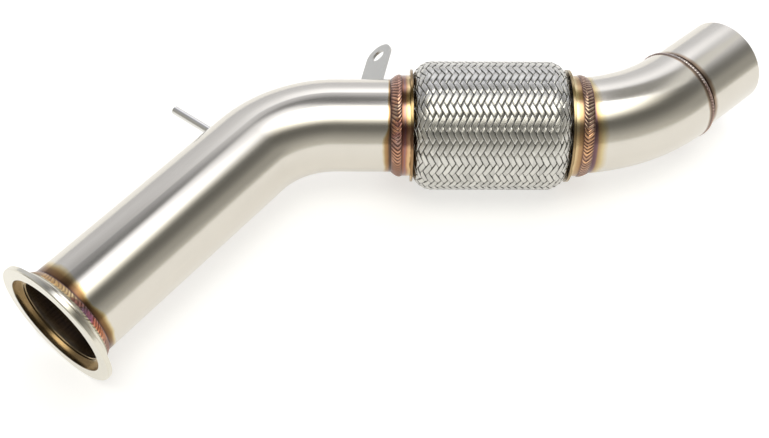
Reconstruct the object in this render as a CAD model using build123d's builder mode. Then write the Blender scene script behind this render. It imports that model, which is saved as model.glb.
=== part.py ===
"""Turbo downpipe: V-band inlet, mandrel-bent inlet pipe, braided flex joint, outlet bend and slip stub.

Millimetres, +Z up. The origin is the centre of the inlet flange's sealing face, and +X runs down the
inlet pipe. Every axis lies in the XY plane, so the pipe lies level on the flange's rim and on the braid.
"""

from build123d import *
import os
from math import cos, radians, sin, tan

# Pipe centreline, in order from the inlet face
inlet_straight = 173.0
inlet_bend_radius = 71.0
inlet_bend_angle = 52.5
inlet_lead = 52.5
flex_length = 105.0
outlet_straight = 1.5
outlet_bend_radius = 121.0
outlet_bend_angle = 41.0
stub_length = 53.5

# Tubes
inlet_radius = 31.75
outlet_growth = 1.25
stub_drop = 1.7
tube_wall = 1.5
slip_fit = 0.3
spigot_fit = 0.7
spigot_depth = 4.0
spigot_reach = 4.0
outlet_radius = inlet_radius + outlet_growth
stub_radius = outlet_radius - stub_drop

# V-band flange
flange_height = 12.25
rim_width = 3.0
vee_angle = 20.0
hub_height = 5.05
hub_end = 7.0
register_step = 3.95
register_depth = 4.0
lip_width = 1.3
lip_height = 0.5
face_chamfer = 0.6
flange_radius = inlet_radius + flange_height
hub_radius = inlet_radius + hub_height
register_radius = inlet_radius + register_step

# Flex joint: end caps
cap_height = 1.5
cap_length = 7.5
disc_height = 5.5
disc_width = 1.8
pocket_depth = 1.2
pipe_overlap = 2.0
cap_radius = outlet_radius + cap_height
disc_radius = outlet_radius + disc_height

# Flex joint: braid, bellows and liner
braid_height = 11.0
braid_wall = 1.6
braid_shoulder = 9.5
shoulder_slope = 1.5
braid_rows = 32
braid_turn = 9.0
float_pitch = 4.45
float_relief = 0.7
float_slope = 0.14
fold_radius = 0.3
flatness = 1e-6
layer_gap = 0.1
seat_gap = 0.2
bellows_wall = 0.6
bellows_height = 8.0
convolutions = 10
cuff_length = 3.5
liner_wall = 1.5
liner_gap = 0.25
liner_hooks = 6
liner_groove = 0.5
braid_radius = outlet_radius + braid_height
bellows_radius = outlet_radius + bellows_height

# Weld beads
flange_bead_width = 6.0
flange_bead_drop = 0.8
flex_bead_width = 7.5
flex_bead_height = 0.4
flex_bead_crest = 0.4
seam_bead_width = 4.0
seam_bead_height = 0.6
seam_bead_lap = 1.2
fillet_bead = 2.4
fillet_bevel = 1.9

# Bracket behind the inlet lead
bracket_setback = 37.0
bracket_length = 39.25
bracket_half_width = 11.0
bracket_thickness = 2.0
bracket_hole_radius = 5.2
bracket_lean = 11.0
bracket_twist = 39.0
bracket_reach = inlet_radius + bracket_length

# Pressure pipe on the inlet pipe
pressure_station = 172.0
pressure_length = 38.75
pressure_radius = 3.0
pressure_bore = 1.9
pressure_inset = 1.0
pressure_foot_radius = 2.7
pressure_foot = 3.5
pressure_fit = 0.05
pressure_reach = inlet_radius + pressure_length


def heading(angle):
    """Unit vector in the XY plane, at an angle in degrees from +X."""
    return Vector(cos(radians(angle)), sin(radians(angle)), 0)


def level_plane(origin, direction):
    """Horizontal plane with its local X along a pipe axis, for profiles given as (along, radius)."""
    return Plane(origin=origin, x_dir=direction, z_dir=(0, 0, 1))


def axis_of(plane):
    """Axis of revolution of a profile on a level plane."""
    return Axis(plane.origin, plane.x_dir)


# Stations and directions of the centreline
flex_heading = -inlet_bend_angle
outlet_heading = flex_heading + outlet_bend_angle
pipe_start = register_depth + lip_width
flange_plane = level_plane((0, 0, 0), heading(0))

with BuildLine() as inlet_line:
    inlet_run = Line((pipe_start, 0), (inlet_straight, 0))
    inlet_arc = JernArc(inlet_run @ 1, inlet_run % 1, inlet_bend_radius, -inlet_bend_angle)
    inlet_lead_run = Line(inlet_arc @ 1, inlet_arc @ 1 + (inlet_lead + pipe_overlap) * heading(flex_heading))

flex_start = inlet_arc @ 1 + inlet_lead * heading(flex_heading)
flex_end = flex_start + flex_length * heading(flex_heading)
flex_plane = level_plane((flex_start + flex_end) / 2, heading(flex_heading))

with BuildLine() as outlet_line:
    outlet_lead = Line(
        flex_end - pipe_overlap * heading(flex_heading),
        flex_end + outlet_straight * heading(flex_heading),
    )
    outlet_arc = JernArc(outlet_lead @ 1, outlet_lead % 1, outlet_bend_radius, outlet_bend_angle)

outlet_plane = level_plane(outlet_arc @ 1, heading(outlet_heading))
spigot_radius = outlet_radius - tube_wall - spigot_fit
half_flex = flex_length / 2

# Solid bars the size of the tubes' outsides, which trim the beads and the bracket
with BuildPart() as inlet_bar:
    with BuildSketch(Plane(origin=inlet_line.line @ 0, z_dir=heading(0))):
        Circle(inlet_radius)
    sweep(path=inlet_line.line)

with BuildPart() as outlet_bar:
    with BuildSketch(Plane(origin=outlet_line.line @ 0, z_dir=heading(flex_heading))):
        Circle(outlet_radius)
    sweep(path=outlet_line.line)

# V-band flange, turned from one piece: face, register, vee back, hub and socket for the pipe
vee_depth = (flange_radius - hub_radius) * tan(radians(vee_angle))
lip_radius = inlet_radius - tube_wall + lip_height

with BuildPart() as vband_flange:
    with BuildSketch(flange_plane):
        with BuildLine():
            Polyline(
                (0, register_radius),
                (0, flange_radius - face_chamfer),
                (face_chamfer, flange_radius),
                (rim_width, flange_radius),
                (rim_width + vee_depth, hub_radius),
                (hub_end - face_chamfer, hub_radius),
                (hub_end, hub_radius - face_chamfer),
                (hub_end, inlet_radius),
                (pipe_start, inlet_radius),
                (pipe_start, lip_radius),
                (register_depth, lip_radius),
                (register_depth, register_radius),
                close=True,
            )
        make_face()
    revolve(axis=axis_of(flange_plane))
vband_flange.part.label = "vband_flange"

# Fillet bead between the hub's end face and the pipe
with BuildPart() as flange_weld:
    with BuildSketch(flange_plane):
        with BuildLine():
            bead_top = (hub_end, hub_radius - face_chamfer - flange_bead_drop)
            bead_toe = (hub_end + flange_bead_width, inlet_radius)
            SagittaArc(bead_top, bead_toe, flange_bead_drop)
            Polyline(bead_toe, (hub_end, inlet_radius), bead_top)
        make_face()
    revolve(axis=axis_of(flange_plane))
flange_weld.part.label = "flange_weld"

# Mandrel-bent inlet pipe, with the hole that the pressure pipe passes through
pressure_plane = Plane(origin=(pressure_station, 0, 0), x_dir=(1, 0, 0), z_dir=(0, 1, 0))

with BuildPart() as inlet_pipe:
    with BuildSketch(Plane(origin=inlet_line.line @ 0, z_dir=heading(0))):
        Circle(inlet_radius)
        Circle(inlet_radius - tube_wall, mode=Mode.SUBTRACT)
    sweep(path=inlet_line.line)
    with BuildSketch(pressure_plane):
        Circle(pressure_foot_radius + pressure_fit)
    extrude(amount=pressure_reach, mode=Mode.SUBTRACT)
inlet_pipe.part.label = "inlet_pipe"

# Outlet bend, and the slip stub whose sized-down spigot stands in its end
with BuildPart() as outlet_bend:
    with BuildSketch(Plane(origin=outlet_line.line @ 0, z_dir=heading(flex_heading))):
        Circle(outlet_radius)
        Circle(outlet_radius - tube_wall, mode=Mode.SUBTRACT)
    sweep(path=outlet_line.line)
outlet_bend.part.label = "outlet_bend"

with BuildPart() as outlet_stub:
    with BuildSketch(outlet_plane):
        with BuildLine():
            Polyline(
                (-spigot_depth, stub_radius - tube_wall),
                (-spigot_depth, spigot_radius),
                (spigot_reach, spigot_radius),
                (spigot_reach, stub_radius),
                (stub_length, stub_radius),
                (stub_length, stub_radius - tube_wall),
                close=True,
            )
        make_face()
    revolve(axis=axis_of(outlet_plane))
outlet_stub.part.label = "outlet_stub"

with BuildPart() as outlet_weld:
    with BuildSketch(outlet_plane):
        with BuildLine():
            seam_back = (-seam_bead_lap, outlet_radius - tube_wall / 2)
            seam_toe = (seam_bead_width - seam_bead_lap, spigot_radius)
            ThreePointArc(seam_back, (0, outlet_radius + seam_bead_height), seam_toe)
            Polyline(seam_toe, (-seam_bead_lap, spigot_radius), seam_back)
        make_face()
    revolve(axis=axis_of(outlet_plane))
    add(outlet_bar.part, mode=Mode.SUBTRACT)
outlet_weld.part.label = "outlet_weld"


# Flex joint. A side is -1 at the inlet end and +1 at the outlet end.
pipe_radius_at = {-1: inlet_radius, 1: outlet_radius}
cuff_start = half_flex + pocket_depth


def cuff_radius(side):
    """Inside of the bellows' plain cuff, which slips over the pipe's end."""
    return pipe_radius_at[side] + layer_gap


def tail_radius(side):
    """Outside of the braid's clamped tail, over the cuff."""
    return cuff_radius(side) + bellows_wall + layer_gap + braid_wall


def end_cap(side):
    """Turned cap: a collar on the pipe, and a thin disc whose pocket clamps the braid's tail."""
    bore = pipe_radius_at[side] + slip_fit
    pocket = tail_radius(side) + seat_gap
    with BuildPart() as cap:
        with BuildSketch(flex_plane):
            with BuildLine():
                Polyline(
                    (side * (half_flex + cap_length), bore),
                    (side * (half_flex + cap_length), cap_radius),
                    (side * (half_flex + disc_width), cap_radius),
                    (side * (half_flex + disc_width), disc_radius),
                    (side * half_flex, disc_radius),
                    (side * half_flex, pocket),
                    (side * (half_flex + pocket_depth + seat_gap), pocket),
                    (side * (half_flex + pocket_depth + seat_gap), bore),
                    close=True,
                )
            make_face()
        revolve(axis=axis_of(flex_plane))
    return cap


def flex_bead(side, bar):
    """Bead that laps the cap's end and the pipe beside it, trimmed to the pipe."""
    near = side * (half_flex + cap_length)
    far = side * (half_flex + cap_length + flex_bead_width)
    with BuildPart() as bead:
        with BuildSketch(flex_plane):
            with BuildLine():
                ThreePointArc(
                    (near, cap_radius),
                    (near + (far - near) * flex_bead_crest, cap_radius + flex_bead_height),
                    (far, pipe_radius_at[side]),
                )
                Polyline(
                    (far, pipe_radius_at[side]),
                    (far, pipe_radius_at[side] - tube_wall),
                    (near, pipe_radius_at[side] - tube_wall),
                    (near, cap_radius),
                )
            make_face()
        revolve(axis=axis_of(flex_plane))
        add(bar, mode=Mode.SUBTRACT)
    return bead


inlet_end_cap = end_cap(-1)
inlet_end_cap.part.label = "inlet_end_cap"
outlet_end_cap = end_cap(1)
outlet_end_cap.part.label = "outlet_end_cap"
inlet_flex_weld = flex_bead(-1, inlet_bar.part)
inlet_flex_weld.part.label = "inlet_flex_weld"
outlet_flex_weld = flex_bead(1, outlet_bar.part)
outlet_flex_weld.part.label = "outlet_flex_weld"


# Braid: plaited bands, each seen as a row of raised floats. The rows run along the sleeve, and the floats
# slant one way in one row and the other way in the next, with valleys between them.
braid_foot = half_flex - layer_gap
inner_shoulder = max(braid_shoulder - braid_wall, 1)

with BuildLine() as braid_outline:
    Polyline(
        (-braid_foot, tail_radius(-1)),
        (-braid_foot + shoulder_slope, braid_radius),
        (braid_foot - shoulder_slope, braid_radius),
        (braid_foot, tail_radius(1)),
    )
    fillet(braid_outline.vertices().sort_by(Axis.X)[1:3], braid_shoulder)
braid_steps = round(braid_outline.wire().length / float_pitch)


def around_flex(along, radius, row):
    """Point given by its place along the flex joint, its radius, and the row line that it is on."""
    angle = radians(braid_turn + 360 * row / braid_rows)
    return flex_plane.from_local_coords(Vector(along, -radius * cos(angle), radius * sin(angle)))


def valley(row, step):
    """Corner between floats, sunk below the outline except at the two feet."""
    share = step / braid_steps
    spot = braid_outline.wire().position_at(share)
    course = braid_outline.wire().tangent_at(share)
    sink = 0 if step in (0, braid_steps) else float_relief
    return around_flex(spot.X + course.Y * sink, spot.Y - course.X * sink, row)


def facet(*corners):
    """Flat face through three or more corners."""
    return Face(Wire.make_polygon(corners, close=True))


def slope_faces(a, b, c, d):
    """One side of a float: a flat face, or two where the shoulder bends it."""
    twist = (b - a).cross(c - a).normalized().dot(d - a)
    return [facet(a, b, c, d)] if abs(twist) < flatness else [facet(a, b, c), facet(a, c, d)]


def float_faces(near_low, near_high, far_low, far_high):
    """Hipped form of one float, over its two corners on each of two row lines."""
    outward = (near_high - near_low).cross(far_low - near_low).normalized() * float_relief
    near = (near_low + near_high) / 2
    run = (far_low + far_high) / 2 - near
    crest_start = near + run * float_slope + outward
    crest_end = near + run * (1 - float_slope) + outward
    return [
        *slope_faces(near_low, far_low, crest_end, crest_start),
        *slope_faces(crest_start, crest_end, far_high, near_high),
        facet(near_low, crest_start, near_high),
        facet(far_low, far_high, crest_end),
    ]


def row_faces(row):
    """All floats of one row, with a flat gusset at each end of it."""
    near = [valleys[row][step] for step in range(braid_steps + 1)]
    far = [valleys[(row + 1) % braid_rows][step] for step in range(braid_steps + 1)]
    if row % 2:
        floats = [float_faces(near[s], near[s + 1], far[s + 1], far[s + 2]) for s in range(braid_steps - 1)]
        gussets = [facet(near[0], far[0], far[1]), facet(near[-2], near[-1], far[-1])]
    else:
        floats = [float_faces(near[s + 1], near[s + 2], far[s], far[s + 1]) for s in range(braid_steps - 1)]
        gussets = [facet(near[0], near[1], far[0]), facet(near[-1], far[-1], far[-2])]
    return [*(face for faces in floats for face in faces), *gussets]


def tail_faces(side):
    """Plain tail inside the cap's pocket, from the foot of the floats to a flat end."""
    step = 0 if side < 0 else braid_steps
    foot = [valleys[row][step] for row in range(braid_rows)]
    rim = [around_flex(side * cuff_start, tail_radius(side), row) for row in range(braid_rows)]
    walls = [facet(foot[r - 1], foot[r], rim[r], rim[r - 1]) for r in range(braid_rows)]
    return [*walls, facet(*rim)]


valleys = [[valley(row, step) for step in range(braid_steps + 1)] for row in range(braid_rows)]
skin = [face for row in range(braid_rows) for face in row_faces(row)]

with BuildPart() as braid_sleeve:
    add(Solid(Shell([*skin, *tail_faces(-1), *tail_faces(1)])))
    with BuildSketch(flex_plane):
        with BuildLine():
            inside = FilletPolyline(
                (-cuff_start, tail_radius(-1) - braid_wall),
                (-braid_foot + braid_wall, tail_radius(-1) - braid_wall),
                (-braid_foot + shoulder_slope + braid_wall, braid_radius - braid_wall),
                (braid_foot - shoulder_slope - braid_wall, braid_radius - braid_wall),
                (braid_foot - braid_wall, tail_radius(1) - braid_wall),
                (cuff_start, tail_radius(1) - braid_wall),
                radius=(fold_radius, inner_shoulder, inner_shoulder, fold_radius),
            )
            Polyline(inside @ 1, (cuff_start, 0), (-cuff_start, 0), inside @ 0)
        make_face()
    revolve(axis=axis_of(flex_plane), mode=Mode.SUBTRACT)
braid_sleeve.part.label = "braid_sleeve"

# Corrugated bellows between two plain cuffs
bellows_end = half_flex + pocket_depth - cuff_length
pitch = 2 * bellows_end / convolutions


def bellows_line(drop):
    """Zigzag of roots and crests, lowered by a drop, with the cuffs at both ends."""
    root = cuff_radius(-1) + bellows_wall
    points = [(-cuff_start, root - drop), (-bellows_end, root - drop)]
    for turn in range(convolutions):
        crest = -bellows_end + (turn + 0.5) * pitch
        points.append((crest, bellows_radius - drop))
        foot = cuff_radius(1) + bellows_wall if turn == convolutions - 1 else root
        points.append((crest + pitch / 2, foot - drop))
    points.append((cuff_start, cuff_radius(1) + bellows_wall - drop))
    return Polyline(*points)


with BuildPart() as bellows:
    with BuildSketch(flex_plane):
        with BuildLine():
            crests = bellows_line(0)
            hollows = bellows_line(bellows_wall)
            Line(crests @ 0, hollows @ 0)
            Line(crests @ 1, hollows @ 1)
        make_face()
    revolve(axis=axis_of(flex_plane))
bellows.part.label = "bellows"

# Interlocked liner between the pipes' ends, its strip edges as grooves round the outside
liner_radius = cuff_radius(-1) - liner_gap
liner_half = half_flex - pipe_overlap - seat_gap
hook_pitch = 2 * liner_half / (liner_hooks + 1)

with BuildPart() as interlock_liner:
    with BuildSketch(flex_plane):
        with Locations((0, liner_radius - liner_wall / 2)):
            Rectangle(2 * liner_half, liner_wall)
        with Locations(Location((0, liner_radius))):
            with GridLocations(hook_pitch, 0, liner_hooks, 1):
                Rectangle(hook_pitch / 2, 2 * liner_groove, mode=Mode.SUBTRACT)
    revolve(axis=axis_of(flex_plane))
interlock_liner.part.label = "interlock_liner"

# Flat bracket, edge-on to the inlet lead, leaning along it and twisted about its own length
bracket_foot = flex_start - bracket_setback * heading(flex_heading)
bracket_run = heading(flex_heading + 90 - bracket_lean)
bracket_tilt = heading(flex_heading + 180 - bracket_lean)
bracket_normal = cos(radians(bracket_twist)) * Vector(0, 0, 1) + sin(radians(bracket_twist)) * bracket_tilt
bracket_plane = Plane(origin=bracket_foot, x_dir=bracket_run, z_dir=bracket_normal)

with BuildPart() as bracket:
    with BuildSketch(bracket_plane):
        with Locations((bracket_reach / 2, 0)):
            Rectangle(bracket_reach, 2 * bracket_half_width)
        with Locations((bracket_reach, 0)):
            Circle(bracket_half_width)
            Circle(bracket_hole_radius, mode=Mode.SUBTRACT)
    extrude(amount=bracket_thickness / 2, both=True)
    add(inlet_bar.part, mode=Mode.SUBTRACT)
bracket.part.label = "bracket"

# Fillet bead round the bracket's foot, no higher than the bead's leg
with BuildPart() as bracket_weld:
    with BuildSketch(level_plane(bracket_foot, heading(flex_heading))):
        with Locations((0, (inlet_radius + fillet_bead) / 2)):
            Rectangle(2 * bracket_setback, inlet_radius + fillet_bead)
    revolve(axis=Axis(bracket_foot, heading(flex_heading)))
    with BuildSketch(Plane(origin=bracket_foot, x_dir=bracket_plane.y_dir, z_dir=bracket_run)):
        SlotOverall(2 * (bracket_half_width + fillet_bead), bracket_thickness + 2 * fillet_bead)
    extrude(amount=bracket_reach, mode=Mode.INTERSECT)
    add(inlet_bar.part, mode=Mode.SUBTRACT)
    add(bracket.part, mode=Mode.SUBTRACT)
bracket_weld.part.label = "bracket_weld"

# Small open pipe that stands on the far side of the inlet pipe, and its bead
pressure_start = inlet_radius - tube_wall - pressure_inset
pressure_shoulder = inlet_radius + pressure_foot

with BuildPart() as pressure_pipe:
    with BuildSketch(pressure_plane.offset(pressure_start)):
        Circle(pressure_foot_radius)
    extrude(amount=pressure_shoulder - pressure_start)
    with BuildSketch(pressure_plane.offset(pressure_shoulder)):
        Circle(pressure_radius)
    extrude(amount=pressure_reach - pressure_shoulder)
    with BuildSketch(pressure_plane):
        Circle(pressure_bore)
    extrude(amount=pressure_reach, mode=Mode.SUBTRACT)
pressure_pipe.part.label = "pressure_pipe"

with BuildPart() as pressure_weld:
    with BuildSketch(pressure_plane):
        Circle(pressure_foot_radius + fillet_bead)
    extrude(amount=inlet_radius + fillet_bead)
    chamfer(faces().sort_by(Axis.Y)[-1].edges(), fillet_bevel)
    add(inlet_bar.part, mode=Mode.SUBTRACT)
    with BuildSketch(pressure_plane):
        Circle(pressure_foot_radius)
    extrude(amount=pressure_reach, mode=Mode.SUBTRACT)
pressure_weld.part.label = "pressure_weld"

os.makedirs("parts", exist_ok=True)
for piece in (
    vband_flange,
    flange_weld,
    inlet_pipe,
    inlet_flex_weld,
    inlet_end_cap,
    braid_sleeve,
    bellows,
    interlock_liner,
    outlet_end_cap,
    outlet_flex_weld,
    outlet_bend,
    outlet_weld,
    outlet_stub,
    bracket,
    bracket_weld,
    pressure_pipe,
    pressure_weld,
):
    export_step(piece.part, f"parts/{piece.part.label}.step")
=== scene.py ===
"""Looks of a turbo downpipe: welded stainless tubes, a V-band flange and a braided flex joint.

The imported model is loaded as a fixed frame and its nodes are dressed. The braid and the main weld beads are
modelled anew in the place of their solids. Lengths are in metres, in the model's own frame.
"""

import logging
import math
from abc import ABC, abstractmethod
from collections.abc import Mapping, Sequence
from dataclasses import dataclass
from enum import Enum

import bpy
import numpy as np
from mathutils import Matrix, Vector


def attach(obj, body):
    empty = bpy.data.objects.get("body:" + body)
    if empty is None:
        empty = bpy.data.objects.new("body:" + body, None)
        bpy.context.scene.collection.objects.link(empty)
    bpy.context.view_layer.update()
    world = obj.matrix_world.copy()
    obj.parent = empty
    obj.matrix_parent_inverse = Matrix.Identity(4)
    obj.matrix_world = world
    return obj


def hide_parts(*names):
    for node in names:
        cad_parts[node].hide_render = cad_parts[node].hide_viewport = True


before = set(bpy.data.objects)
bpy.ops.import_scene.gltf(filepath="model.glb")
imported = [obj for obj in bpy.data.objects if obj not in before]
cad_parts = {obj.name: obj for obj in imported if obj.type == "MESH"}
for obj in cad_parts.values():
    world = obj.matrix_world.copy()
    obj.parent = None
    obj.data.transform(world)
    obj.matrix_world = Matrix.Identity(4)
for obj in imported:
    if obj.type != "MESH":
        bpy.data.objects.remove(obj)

log = logging.getLogger("downpipe")
MM = 0.001
BODY = "root"
RIPPLE_MAP = "Ripple"
FULL_TURN = 2 * math.pi
# Level direction that the camera looks in, square to the flex joint.
AWAY = (0.79335, 0.60876)

Colour = tuple[float, float, float]
Stops = tuple[tuple[float, Colour], ...]
Spread = tuple[tuple[float, float], ...]
Array = np.ndarray


class Side(Enum):
    """An end of the flex joint, as the sign of its place along the joint."""

    INLET = -1
    OUTLET = 1


class Lean(Enum):
    """The way that a family of braid bands winds as it runs towards the outlet."""

    UP = 1
    DOWN = -1


@dataclass(frozen=True)
class Number:
    """A value that changes over a surface. Python's operators on it add Math nodes."""

    bench: "Bench"
    socket: bpy.types.NodeSocket

    def maths(self, operation: str, *others: "Number | float") -> "Number":
        """Adds one Math node.

        Args:
            operation: The node's operation.
            others: The operands after this one.

        Returns:
            The node's result.
        """
        return self.bench.maths(operation, self, *others)

    def __add__(self, other: "Number | float") -> "Number":
        """Sum."""
        return self.maths("ADD", other)

    __radd__ = __add__

    def __sub__(self, other: "Number | float") -> "Number":
        """Difference."""
        return self.maths("SUBTRACT", other)

    def __rsub__(self, other: float) -> "Number":
        """Difference, with this value taken away."""
        return self.bench.maths("SUBTRACT", other, self)

    def __mul__(self, other: "Number | float") -> "Number":
        """Product."""
        return self.maths("MULTIPLY", other)

    __rmul__ = __mul__

    def __truediv__(self, other: "Number | float") -> "Number":
        """Quotient."""
        return self.maths("DIVIDE", other)

    def __rtruediv__(self, other: float) -> "Number":
        """Quotient, with this value below the line."""
        return self.bench.maths("DIVIDE", other, self)

    def __pow__(self, other: float) -> "Number":
        """Power."""
        return self.maths("POWER", other)

    def __abs__(self) -> "Number":
        """Size without its sign."""
        return self.maths("ABSOLUTE")

    def clamp(self, low: float, high: float) -> "Number":
        """Value held between two limits."""
        return self.maths("MAXIMUM", low).maths("MINIMUM", high)

    def turn(self, level: "Number") -> "Number":
        """Place round an axis, as a share of a turn, with this as the height and the other as the level."""
        return (self.maths("ARCTAN2", level) / FULL_TURN).maths("FRACT")

    def step(self, start: float, end: float) -> "Number":
        """Smooth rise from 0 at a start to 1 at an end.

        Args:
            start: Value where the rise begins; it may be above the end, for a fall.
            end: Value where it is complete.

        Returns:
            The eased share, from 0 to 1.
        """
        share = ((self - start) / (end - start)).clamp(0.0, 1.0)
        return share * share * (3.0 - 2.0 * share)


Input = Number | bpy.types.NodeSocket | float | Sequence[float]
Surface = tuple[bpy.types.NodeSocket, Number, bpy.types.NodeSocket]


@dataclass
class Bench:
    """A node tree, with one method that adds any node and short names for the usual ones."""

    tree: bpy.types.NodeTree

    def node(
        self,
        kind: str,
        settings: Mapping[str, object] | None = None,
        sockets: Mapping[str | int, Input] | None = None,
    ) -> bpy.types.Node:
        """Adds a node.

        Args:
            kind: The node's type.
            settings: Its own settings, set first; "stops" are a ramp's places and colours.
            sockets: Values or links of its inputs, by name or number.

        Returns:
            The node.
        """
        made = self.tree.nodes.new(kind)
        for name, value in (settings or {}).items():
            if name == "stops":
                elements = made.color_ramp.elements
                while len(elements) < len(value):
                    elements.new(0.5)
                for element, (place, colour) in zip(elements, value):
                    element.position = place
                    element.color = (*colour, 1.0)
            else:
                setattr(made, name, value)
        for key, value in (sockets or {}).items():
            source = value.socket if isinstance(value, Number) else value
            if isinstance(source, bpy.types.NodeSocket):
                self.tree.links.new(source, made.inputs[key])
            else:
                made.inputs[key].default_value = source
        return made

    def maths(self, operation: str, *operands: Number | float) -> Number:
        """Adds a Math node.

        Args:
            operation: The node's operation.
            operands: Its inputs in order.

        Returns:
            Its result.
        """
        made = self.node("ShaderNodeMath", {"operation": operation}, dict(enumerate(operands)))
        return Number(self, made.outputs[0])

    def split(self, point: bpy.types.NodeSocket) -> tuple[Number, Number, Number]:
        """A vector's three values."""
        parts = self.node("ShaderNodeSeparateXYZ", None, {0: point}).outputs
        return Number(self, parts[0]), Number(self, parts[1]), Number(self, parts[2])

    def place(self, kind: str = "Object") -> tuple[Number, Number, Number]:
        """Place on the surface: in the model's frame, or by another output of Texture Coordinate."""
        return self.split(self.node("ShaderNodeTexCoord").outputs[kind])

    def ripples(self) -> Number:
        """How deep a point of a bead lies between two ripples, from 0 to 1."""
        return self.split(self.node("ShaderNodeUVMap", {"uv_map": RIPPLE_MAP}).outputs[0])[0]

    def vector(self, x: Number | float, y: Number | float, z: Number | float) -> bpy.types.NodeSocket:
        """Vector of three values."""
        return self.node("ShaderNodeCombineXYZ", None, {0: x, 1: y, 2: z}).outputs[0]

    def noise(
        self, point: bpy.types.NodeSocket, scale: float, detail: float = 2.0, rough: float = 0.5
    ) -> Number:
        """Noise around one half.

        Args:
            point: Where it is read.
            scale: How many features to a unit of length.
            detail: Octaves.
            rough: Share that each octave keeps.

        Returns:
            The noise, from about 0 to 1.
        """
        sockets = {"Vector": point, "Scale": scale, "Detail": detail, "Roughness": rough}
        return Number(self, self.node("ShaderNodeTexNoise", None, sockets).outputs[0])

    def ramp(self, value: Number, stops: Sequence[tuple[float, Colour]]) -> bpy.types.NodeSocket:
        """Colour read from a ramp."""
        return self.node("ShaderNodeValToRGB", {"stops": stops}, {0: value}).outputs[0]

    def mix(self, share: Input, first: Input, second: Input, way: str = "MIX") -> bpy.types.NodeSocket:
        """Mixes two colours.

        Args:
            share: How much of the second is in the mix.
            first: A colour or its link.
            second: A colour or its link.
            way: The node's blend type.

        Returns:
            The mixed colour.
        """
        ends = [(*v, 1.0) if isinstance(v, tuple) and len(v) == 3 else v for v in (first, second)]
        made = self.node(
            "ShaderNodeMix",
            {"data_type": "RGBA", "blend_type": way},
            {0: share, 6: ends[0], 7: ends[1]},
        )
        return made.outputs[2]

    def shade(self, colour: Input, by: Number) -> bpy.types.NodeSocket:
        """Colour darkened or lightened by a value around one."""
        return self.mix(1.0, colour, self.vector(by, by, by), "MULTIPLY")

    def bump(self, height: Number, depth: float) -> bpy.types.NodeSocket:
        """Normal of a surface with a fine relief.

        Args:
            height: The relief, as a share of its depth.
            depth: The relief's depth in metres.

        Returns:
            The normal.
        """
        return self.node("ShaderNodeBump", None, {"Distance": depth, "Height": height}).outputs[0]


def bare_material(name: str) -> tuple[bpy.types.Material, Bench]:
    """Material without nodes.

    Args:
        name: Its name.

    Returns:
        The material, and a bench for its nodes.
    """
    material = bpy.data.materials.new(name)
    material.use_nodes = True
    material.node_tree.nodes.clear()
    return material, Bench(material.node_tree)


@dataclass(frozen=True)
class Metal(ABC):
    """Bare metal: what every finish of this pipe is."""

    name: str

    @abstractmethod
    def surface(self, bench: Bench) -> Surface:
        """Colour, roughness and normal of the metal."""

    def make(self) -> bpy.types.Material:
        """Builds the material.

        Returns:
            The material.
        """
        material, bench = bare_material(self.name)
        colour, rough, normal = self.surface(bench)
        sockets = {"Metallic": 1.0, "Base Color": colour, "Roughness": rough, "Normal": normal}
        shader = bench.node("ShaderNodeBsdfPrincipled", None, sockets)
        bench.node("ShaderNodeOutputMaterial", None, {"Surface": shader.outputs[0]})
        return material


@dataclass(frozen=True)
class Route:
    """Centreline of a bent tube: a straight run, one arc and a second straight run, all level."""

    centre: tuple[float, float]
    heading: float
    turn: int
    radius: float
    sweep: float
    arc_start: float

    def outward(self) -> tuple[float, float]:
        """Direction from the arc's centre to its start."""
        angle = math.radians(self.heading)
        return self.turn * math.sin(angle), -self.turn * math.cos(angle)

    def forward(self) -> tuple[float, float]:
        """Direction of travel at the arc's start."""
        angle = math.radians(self.heading)
        return math.cos(angle), math.sin(angle)

    def coordinates(self, bench: Bench) -> tuple[Number, Number, Number]:
        """Where a point of the surface is on the tube.

        Args:
            bench: The material's node tree.

        Returns:
            Length along the centreline, offset away from the bend's centre, and height.
        """
        x, y, z = bench.place()
        east, north = x - self.centre[0], y - self.centre[1]
        out_x, out_y = self.outward()
        on_x, on_y = self.forward()
        out, on = east * out_x + north * out_y, east * on_x + north * on_y
        angle = bench.maths("ARCTAN2", on, out).clamp(0.0, math.radians(self.sweep))
        cosine, sine = angle.maths("COSINE"), angle.maths("SINE")
        along = angle * self.radius + cosine * on - sine * out + self.arc_start
        return along, cosine * out + sine * on - self.radius, z


INLET_BEND_RADIUS, INLET_STRAIGHT, INLET_SWEEP = 71 * MM, 173 * MM, 52.5
OUTLET_BEND_RADIUS, OUTLET_STRAIGHT, OUTLET_SWEEP = 121 * MM, 1.5 * MM, 41.0
OUTLET_START = (326.121 * MM, -153.921 * MM)
INLET_RADIUS, OUTLET_RADIUS = 31.75 * MM, 33 * MM
# Lengths along the two tubes to the toes of their beads.
FLANGE_TOE, FLEX_TOE, OUTLET_TOE = 13 * MM, 275.56 * MM, 12.8 * MM
SEAM_STATION = OUTLET_STRAIGHT + OUTLET_BEND_RADIUS * math.radians(OUTLET_SWEEP)
INLET_ROUTE = Route(
    (INLET_STRAIGHT, -INLET_BEND_RADIUS), 0.0, -1, INLET_BEND_RADIUS, INLET_SWEEP, INLET_STRAIGHT
)
OUTLET_ROUTE = Route(
    (OUTLET_START[0] + AWAY[0] * OUTLET_BEND_RADIUS, OUTLET_START[1] + AWAY[1] * OUTLET_BEND_RADIUS),
    -INLET_SWEEP,
    1,
    OUTLET_BEND_RADIUS,
    OUTLET_SWEEP,
    OUTLET_STRAIGHT,
)

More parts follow.
